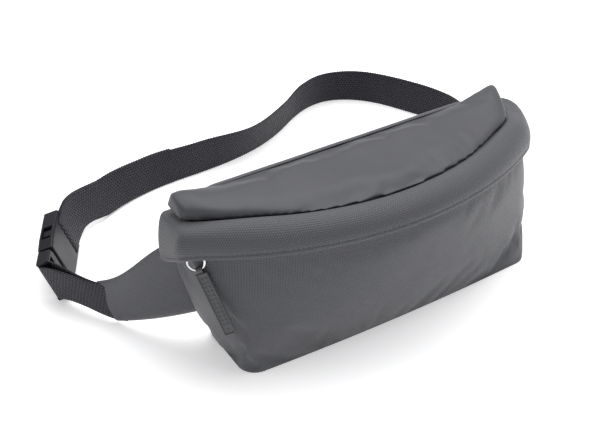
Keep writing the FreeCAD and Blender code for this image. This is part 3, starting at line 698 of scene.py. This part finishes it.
def make_short_strap():
    """Webbing out of the left wing, round the plug's bar and back to its hem."""
    half = WEBBING_W / 2
    bars = np.array([in_buckle(PLUG_BAR_X, -half, 0), in_buckle(PLUG_BAR_X, half, 0)])
    away = OUTWARD * PLUG_TURN[0] - AXIS * PLUG_TURN[1]
    away /= np.linalg.norm(away)
    stretch = np.linalg.norm(bars[0] - SHORT_TIP[0])
    shares, gaps = zip(*SHORT_PLY)

    def ply(side, first):
        found = []
        for s in np.linspace(first, 1, 14):
            low, high = (short_curve(s, SHORT_TIP[k], bars[k], away, stretch) for k in (0, 1))
            ahead = short_curve(s + 0.01, SHORT_TIP[0], bars[0], away, stretch) - low
            across = np.cross(high - low, ahead)
            across *= side * np.interp(s, shares, gaps) / np.linalg.norm(across)
            found.append((low + across, high + across))
        return found

    across = np.cross(bars[1] - bars[0], away)
    across /= np.linalg.norm(across)
    turn = []
    for i in range(1, 8):
        angle = math.pi * i / 8
        radial = (across * math.cos(angle) + away * math.sin(angle)) * gaps[-1]
        turn.append((bars[0] + radial, bars[1] + radial))
    stations = ply(1, 0.0) + turn + ply(-1, 0.0)[::-1]
    return make_webbing("short_webbing", rounded(stations, 1))


# ---------------------------------------------------------------- pull tab
TAB_WIDTH, TAB_LENGTH, TAB_START = 8.0, 48.5, 2.8
TAB_RIM, TAB_END_RIM = 0.85, 1.3     # height of the raised rims, and the width of those at the ends
BAR_PITCH, BAR_X = 3.1, 1.25         # the two rows of short bars
NECK_HALF_T = 0.84
EYE_SECTION = [(1.35, -2.0), (2.05, -2.0), (2.2, -1.8), (2.2, 1.8), (2.05, 2.0), (1.35, 2.0)]


def make_pull_tab():
    """Moulded zip pull: raised rims, two rows of short bars, a dot, and its eye."""
    node = positions(frame["nodes"]["pull_tab"].data)
    joint = next(j for j in frame["joints"] if j["name"] == "tab_lift")
    pivot = np.array(joint["pos_m"]) / MM
    across = np.array(joint["axis"], float)
    across /= np.linalg.norm(across)
    down = node.mean(0) - pivot
    down -= across * down.dot(across)
    down /= np.linalg.norm(down)
    out = np.cross(across, down)
    if out[1] > 0:
        out = -out
    width, length, start = TAB_WIDTH, TAB_LENGTH, TAB_START
    nx, ny = 33, 186
    xs = np.linspace(-width / 2, width / 2, nx)
    ys = np.linspace(start, length, ny)

    def height(x, y):
        rim = max(smooth_step(abs(x), 2.75, 3.15), smooth_step(y, length - TAB_END_RIM, length - 0.9),
                  smooth_step(-y, -start - TAB_END_RIM, -start - 0.9))
        edge = 1 - smooth_step(abs(x), width / 2 - 0.35, width / 2)
        end = 1 - smooth_step(y, length - 0.4, length)
        base = 0.45 + TAB_RIM * rim
        bars = 0.0
        for centre in (-BAR_X, BAR_X):
            along = (y - start - 3.0) % BAR_PITCH
            if start + 2.5 < y < length - 7.0:
                bars = max(bars, (1 - smooth_step(abs(x - centre), 0.5, 0.8)) * smooth_step(along, 0.2, 0.5)
                           * (1 - smooth_step(along, 2.0, 2.3)))
        dot = 1 - smooth_step(math.hypot(x, y - (length - 4.0)), 0.6, 0.9)
        return (base + 0.4 * max(bars, dot)) * (0.45 + 0.55 * min(edge, end))

    front = np.array([[pivot + across * x + down * y + out * height(x, y) for x in xs] for y in ys])
    back = np.array([[pivot + across * x + down * y - out * height(x, y) for x in xs] for y in ys])
    size = nx * ny
    faces = grid_faces(ny, nx)
    faces += [tuple(size + k for k in f[::-1]) for f in faces]
    loop = [(i, 0) for i in range(ny)] + [(ny - 1, j) for j in range(1, nx)]
    loop += [(i, nx - 1) for i in range(ny - 2, -1, -1)] + [(0, j) for j in range(nx - 2, 0, -1)]
    for (i, j), (k, m) in zip(loop, loop[1:] + loop[:1]):
        a, b = i * nx + j, k * nx + m
        faces.append((a, b, size + b, size + a))
    points = np.concatenate([front.reshape(-1, 3), back.reshape(-1, 3)])
    eye_points, steps = [], 32
    for radius, x in EYE_SECTION:
        for k in range(steps):
            angle = 2 * math.pi * k / steps
            eye_points.append(pivot + across * x + (down * math.cos(angle) + out * math.sin(angle)) * radius)
    eye_faces = [tuple(len(points) + n for n in f) for f in grid_faces(6, steps, True, True)]
    offset = len(points) + len(eye_points)
    neck = [pivot + across * x + down * y + out * z
            for x in (-2.0, 2.0) for y in (1.6, start + 1.0) for z in (-NECK_HALF_T, NECK_HALF_T)]
    neck_faces = [(0, 1, 3, 2), (4, 6, 7, 5), (0, 4, 5, 1), (2, 3, 7, 6), (0, 2, 6, 4), (1, 5, 7, 3)]
    every = np.concatenate([points, eye_points, neck])
    faces += eye_faces + [tuple(offset + n for n in f) for f in neck_faces]
    return recalculate(make_object("pull_tab_moulding", every, faces))


# ---------------------------------------------------------------- stitches
# One stitch: share of its length, share of its radius and rise.
STITCH = [(0.0, 0.05, -0.6), (0.15, 0.75, 0.0), (0.5, 1.0, 0.45), (0.85, 0.75, 0.0), (1.0, 0.05, -0.6)]


def make_stitches(name, line, out, length=2.4, gap=1.1, radius=0.3):
    """A row of thread stitches along a line of points, standing on a surface that faces out."""
    line = np.array(line, float)
    out = np.array(out, float)
    run = np.concatenate([[0], np.cumsum(np.linalg.norm(np.diff(line, axis=0), axis=1))])

    def at(s, source):
        return np.array([np.interp(s, run, source[:, k]) for k in range(3)])

    points, faces, sides = [], [], 8
    for s in np.arange(0.5, run[-1] - length, length + gap):
        a, b, n = at(s, line), at(s + length, line), at(s + length / 2, out)
        n /= np.linalg.norm(n)
        ahead = (b - a) / np.linalg.norm(b - a)
        side = np.cross(n, ahead)
        base = len(points)
        for share, fat, rise in STITCH:
            centre = a + (b - a) * share + n * radius * rise
            for k in range(sides):
                angle = 2 * math.pi * k / sides
                points.append(centre + (side * math.cos(angle) + n * math.sin(angle)) * radius * fat)
        faces += [tuple(base + m for m in f) for f in grid_faces(len(STITCH), sides, wrap_columns=True)]
        faces.append(tuple(base + k for k in range(sides)))
        faces.append(tuple(base + (len(STITCH) - 1) * sides + k for k in range(sides)))
    return recalculate(make_object(name, points, faces))


HEM_Z, HEM_INSET, HEM_DEPTH = 105.1, -1.25, 0.55     # the hem's channel, before the rim's tilt
WING_STITCH_SHARE, WING_STITCH_RISE = 0.93, 2.35


def make_hem_stitches():
    """Stitches just above the band's lower edge, from the left corner round to the right end."""
    flat = outline(RIM, BACK_TOP_Y, HEM_INSET)[BAND_FIRST + 6:BAND_LAST - 5]
    line = tilted(np.column_stack([flat, np.full(len(flat), HEM_Z)]), RIM_TILT)
    line[:, 2] -= end_drop(line)
    ahead = np.gradient(line, axis=0)
    out = np.column_stack([-ahead[:, 1], ahead[:, 0], np.zeros(len(line))])
    out *= np.sign((out * (line - np.array([0, 60, 0]))).sum(1))[:, None]
    out /= np.linalg.norm(out, axis=1, keepdims=True)
    return make_stitches("hem_stitches", line - out * HEM_DEPTH, out, 2.2, 1.0, 0.24)


def make_wing_stitches(name, side, face):
    """Stitches across a wing near its tip, on its front (face 1) or its back (face -1)."""
    low = WING_ROOT[0] + (WING_TIP[0] - WING_ROOT[0]) * WING_STITCH_SHARE
    high = WING_ROOT[1] + (WING_TIP[1] - WING_ROOT[1]) * WING_STITCH_SHARE
    normal = np.cross(WING_TIP[0] - WING_ROOT[0], high - low)
    normal /= np.linalg.norm(normal)
    bow = wing_bow(WING_STITCH_SHARE)
    line = np.array([low + (high - low) * t + bow for t in np.linspace(0.06, 0.94, 12)])
    line = line + normal * face * WING_STITCH_RISE
    out = np.array([normal * face] * len(line))
    flip = np.array([-1, 1, 1]) if side > 0 else np.array([1, 1, 1])
    return make_stitches(name, line * flip, out * flip, 2.2, 1.0, 0.26)


# ---------------------------------------------------------------- materials
def new_material(name):
    material = bpy.data.materials.new(name)
    material.use_nodes = True
    tree = material.node_tree
    tree.nodes.clear()
    output = tree.nodes.new("ShaderNodeOutputMaterial")
    shader = tree.nodes.new("ShaderNodeBsdfPrincipled")
    tree.links.new(shader.outputs[0], output.inputs[0])
    return material, tree, shader


def node(tree, kind, settings=None, **values):
    """A node with its sockets set or linked: a value that is a socket is linked."""
    made = tree.nodes.new(kind)
    for key, value in (settings or {}).items():
        setattr(made, key, value)
    for key, value in values.items():
        numbered = key[0] == "i" and key[1:].isdigit()
        socket = made.inputs[int(key[1:]) if numbered else key.replace("_", " ")]
        if isinstance(value, bpy.types.NodeSocket):
            tree.links.new(value, socket)
        else:
            socket.default_value = value
    return made


def calculate(tree, operation, a, b=0.0):
    return node(tree, "ShaderNodeMath", {"operation": operation}, i0=a, i1=b).outputs[0]


def ramp(tree, factor, low, high):
    """Colour between two colours."""
    mixed = tree.nodes.new("ShaderNodeMix")
    mixed.data_type = "RGBA"
    tree.links.new(factor, mixed.inputs[0])
    mixed.inputs[6].default_value = (*low, 1)
    mixed.inputs[7].default_value = (*high, 1)
    return mixed.outputs[2]


def weave_height(tree, coordinate, pitch_u, pitch_v):
    """Over-and-under height of a plain weave, from 0 to 1, with pitches in metres."""
    split = node(tree, "ShaderNodeSeparateXYZ", i0=coordinate)
    u = calculate(tree, "DIVIDE", split.outputs[0], pitch_u)
    v = calculate(tree, "DIVIDE", split.outputs[1], pitch_v)
    shift = calculate(tree, "MULTIPLY", calculate(tree, "MODULO", calculate(tree, "FLOOR", v), 2.0), 0.5)
    wave_u = calculate(tree, "ABSOLUTE", calculate(tree, "SINE", calculate(
        tree, "MULTIPLY", calculate(tree, "ADD", u, shift), math.pi)))
    wave_v = calculate(tree, "ABSOLUTE", calculate(tree, "SINE", calculate(tree, "MULTIPLY", v, math.pi)))
    return calculate(tree, "MULTIPLY", wave_u, calculate(tree, "POWER", wave_v, 0.6))


def woven(name, dark, light, pitch, rough, bump, sheen, mottle=0.25, uv=True):
    """Fabric with a woven relief, soft mottling and a little sheen."""
    material, tree, shader = new_material(name)
    place = node(tree, "ShaderNodeTexCoord")
    where = node(tree, "ShaderNodeUVMap", {"uv_map": "weave"}).outputs[0] if uv else place.outputs["Object"]
    height = weave_height(tree, where, *pitch)
    cloud = node(tree, "ShaderNodeTexNoise", Vector=place.outputs["Object"], Scale=22.0, Detail=4.0)
    grain = node(tree, "ShaderNodeTexNoise", Vector=place.outputs["Object"], Scale=900.0, Detail=2.0)
    share = calculate(tree, "ADD", calculate(tree, "MULTIPLY", height, 1 - mottle),
                      calculate(tree, "MULTIPLY", cloud.outputs["Fac"], mottle))
    tree.links.new(ramp(tree, share, dark, light), shader.inputs["Base Color"])
    relief = calculate(tree, "ADD", height, calculate(tree, "MULTIPLY", grain.outputs["Fac"], 0.35))
    bumped = node(tree, "ShaderNodeBump", Strength=bump[0], Distance=bump[1], Height=relief)
    tree.links.new(bumped.outputs[0], shader.inputs["Normal"])
    spread = calculate(tree, "ADD", calculate(tree, "MULTIPLY", cloud.outputs["Fac"], 0.12), rough - 0.06)
    tree.links.new(spread, shader.inputs["Roughness"])
    shader.inputs["Sheen Weight"].default_value = sheen
    shader.inputs["Sheen Roughness"].default_value = 0.45
    shader.inputs["Specular IOR Level"].default_value = 0.35
    return material


def moulded(name, dark, light, rough, grain_scale=700.0, bump=0.12, gloss=0.5):
    """Moulded plastic or rubber with fine grain and slight scuffing."""
    material, tree, shader = new_material(name)
    place = node(tree, "ShaderNodeTexCoord")
    cloud = node(tree, "ShaderNodeTexNoise", Vector=place.outputs["Object"], Scale=45.0, Detail=5.0)
    grain = node(tree, "ShaderNodeTexNoise", Vector=place.outputs["Object"], Scale=grain_scale, Detail=3.0)
    tree.links.new(ramp(tree, cloud.outputs["Fac"], dark, light), shader.inputs["Base Color"])
    bumped = node(tree, "ShaderNodeBump", Strength=bump, Distance=0.0002, Height=grain.outputs["Fac"])
    tree.links.new(bumped.outputs[0], shader.inputs["Normal"])
    spread = calculate(tree, "ADD", calculate(tree, "MULTIPLY", cloud.outputs["Fac"], 0.2), rough - 0.1)
    tree.links.new(spread, shader.inputs["Roughness"])
    shader.inputs["Specular IOR Level"].default_value = gloss
    return material


def metal(name, colour, rough):
    """Plated metal with faint polishing marks."""
    material, tree, shader = new_material(name)
    place = node(tree, "ShaderNodeTexCoord")
    marks = node(tree, "ShaderNodeTexNoise", Vector=place.outputs["Object"], Scale=420.0, Detail=6.0)
    low = tuple(c * 0.82 for c in colour)
    tree.links.new(ramp(tree, marks.outputs["Fac"], low, colour), shader.inputs["Base Color"])
    spread = calculate(tree, "ADD", calculate(tree, "MULTIPLY", marks.outputs["Fac"], 0.12), rough)
    tree.links.new(spread, shader.inputs["Roughness"])
    bumped = node(tree, "ShaderNodeBump", Strength=0.06, Distance=0.0001, Height=marks.outputs["Fac"])
    tree.links.new(bumped.outputs[0], shader.inputs["Normal"])
    shader.inputs["Metallic"].default_value = 1.0
    return material


def dress(obj, material):
    obj.data.materials.clear()
    obj.data.materials.append(material)


# ---------------------------------------------------------------- scene
def build_camera():
    target = Vector((-26, 46, 50)) * MM
    azimuth, elevation, distance = math.radians(-32.5), math.radians(35.0), 865 * MM
    back = Vector((math.sin(azimuth) * math.cos(elevation), -math.cos(azimuth) * math.cos(elevation),
                   math.sin(elevation)))
    camera = bpy.data.objects.new("camera", bpy.data.cameras.new("camera"))
    bpy.context.scene.collection.objects.link(camera)
    camera.location = target + back * distance
    camera.rotation_euler = (-back).to_track_quat("-Z", "Y").to_euler()
    camera.data.sensor_width = 36.0
    camera.data.lens = 72.7
    camera.data.clip_end = 20
    bpy.context.scene.camera = camera


def build_floor():
    floor = make_object("floor", [(-3000, -3000, 0), (3000, -3000, 0), (3000, 3000, 0), (-3000, 3000, 0)],
                        [(0, 1, 2, 3)], smooth=False)
    material, tree, shader = new_material("paper")
    place = node(tree, "ShaderNodeTexCoord")
    cloud = node(tree, "ShaderNodeTexNoise", Vector=place.outputs["Object"], Scale=3.0)
    tree.links.new(ramp(tree, cloud.outputs["Fac"], (0.9, 0.9, 0.905), (0.92, 0.92, 0.925)),
                   shader.inputs["Base Color"])
    shader.inputs["Roughness"].default_value = 0.9
    shader.inputs["Emission Color"].default_value = (1.0, 1.0, 1.0, 1)
    shader.inputs["Emission Strength"].default_value = 0.34
    dress(floor, material)


def build_lights():
    world = bpy.data.worlds.new("studio")
    bpy.context.scene.world = world
    world.use_nodes = True
    world.node_tree.nodes["Background"].inputs[0].default_value = (1.0, 1.0, 1.02, 1)
    world.node_tree.nodes["Background"].inputs[1].default_value = 0.42
    for name, place, size, power, target in (
            ("top_softbox", (0.35, 0.45, 1.7), 2.0, 44.0, (0, 0.05, 0.05)),
            ("front_softbox", (-0.9, -1.5, 0.9), 1.2, 3.0, (0, 0, 0.05)),
            ("right_softbox", (1.6, -0.5, 0.8), 1.0, 5.0, (0, 0, 0.05))):
        data = bpy.data.lights.new(name, "AREA")
        data.energy = power
        data.size = size
        lamp = bpy.data.objects.new(name, data)
        bpy.context.scene.collection.objects.link(lamp)
        lamp.location = place
        lamp.rotation_euler = (Vector(target) - Vector(place)).to_track_quat("-Z", "Y").to_euler()
    bpy.context.scene.view_settings.view_transform = "Standard"


FABRIC = woven("coated_fabric", (0.046, 0.047, 0.053), (0.092, 0.094, 0.105), (0.0016, 0.0016), 0.5,
               (0.45, 0.0005), 0.12)
LINING = woven("lining_cloth", (0.05, 0.05, 0.053), (0.08, 0.08, 0.084), (0.0009, 0.0009), 0.7,
               (0.2, 0.0002), 0.15)
WEBBING = woven("belt_weave", (0.0025, 0.0025, 0.0055), (0.019, 0.019, 0.032), (0.0026, 0.0022), 0.6,
                (1.0, 0.0009), 0.1, 0.12)
TAPE = woven("zip_tape_weave", (0.03, 0.03, 0.033), (0.06, 0.06, 0.066), (0.0008, 0.0006), 0.75,
             (0.3, 0.0002), 0.1, uv=False)
THREAD = woven("thread", (0.05, 0.05, 0.06), (0.12, 0.12, 0.14), (0.0004, 0.0004), 0.6,
               (0.4, 0.0002), 0.3, uv=False)
FOAM = woven("foam", (0.22, 0.22, 0.225), (0.3, 0.3, 0.305), (0.0015, 0.0015), 0.9,
             (0.4, 0.0003), 0.0, uv=False)
BUCKLE = moulded("buckle_plastic", (0.0085, 0.009, 0.012), (0.014, 0.0145, 0.019), 0.36, gloss=0.2)
TEETH = moulded("zip_teeth_plastic", (0.03, 0.03, 0.033), (0.055, 0.055, 0.06), 0.45)
RUBBER = moulded("pull_rubber", (0.042, 0.043, 0.047), (0.066, 0.067, 0.073), 0.34, 500.0, 0.2)
BRIGHT = metal("bright_wire", (0.85, 0.85, 0.86), 0.12)
PLATED = metal("plated_zip", (0.55, 0.55, 0.57), 0.25)


def finish_piece(obj, body, slot, material, *nodes):
    dress(obj, material)
    if body:
        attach(obj, body)
    if nodes:
        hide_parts(*nodes)
    return obj


build_camera()
build_floor()
build_lights()

finish_piece(make_pouch(), "bag", "panel_fabric", FABRIC, "front_panel", "back_panel", "bottom_panel")
finish_piece(make_lining(), "bag", "lining", LINING, "pouch_lining")
finish_piece(make_band(), "lid", "panel_fabric", FABRIC, "zip_cover_band")
top = finish_piece(make_top(), "lid", "panel_fabric", FABRIC, "top_panel")
finish_piece(make_lid_lining(), "lid", "lining", LINING, "lid_lining")
fold = finish_piece(make_fold(), None, "binding", FABRIC, "lid_fold_binding")
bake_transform(fold)
for side, label in ((-1, "left"), (1, "right")):
    layers = [f"wing_{label}_{layer}" for layer in ("front", "back", "core")]
    wing = finish_piece(make_wing(side), "bag", "panel_fabric", FABRIC, *layers)
belt = finish_piece(make_belt(), None, "webbing", WEBBING, "long_strap", "strap_tail", "strap_end")
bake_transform(belt)
finish_piece(make_short_strap(), "bag", "webbing", WEBBING, "short_strap")
finish_piece(make_hem_stitches(), "lid", "panel_fabric", THREAD)
for side, label in ((-1, "left"), (1, "right")):
    for face, where in ((1, "front"), (-1, "back")):
        stitches = make_wing_stitches(f"wing_{label}_stitches_{where}", side, face)
        finish_piece(stitches, "bag", "webbing", THREAD)
finish_piece(make_pull_tab(), "tab", "pull_rubber", RUBBER, "pull_tab")

for name in ("zip_tape_lower", "zip_tape_upper"):
    dress(frame["nodes"][name], TAPE)
for name in ("zip_teeth_lower", "zip_teeth_upper"):
    dress(frame["nodes"][name], TEETH)
for name in ("zip_stop_left", "zip_stop_right", "zip_slider", "slider_loop"):
    dress(frame["nodes"][name], PLATED)
for name in ("buckle_socket", "buckle_plug", "prong_upper", "prong_lower"):
    dress(frame["nodes"][name], BUCKLE)
dress(frame["nodes"]["puller_ring"], BRIGHT)
dress(frame["nodes"]["back_padding"], FOAM)
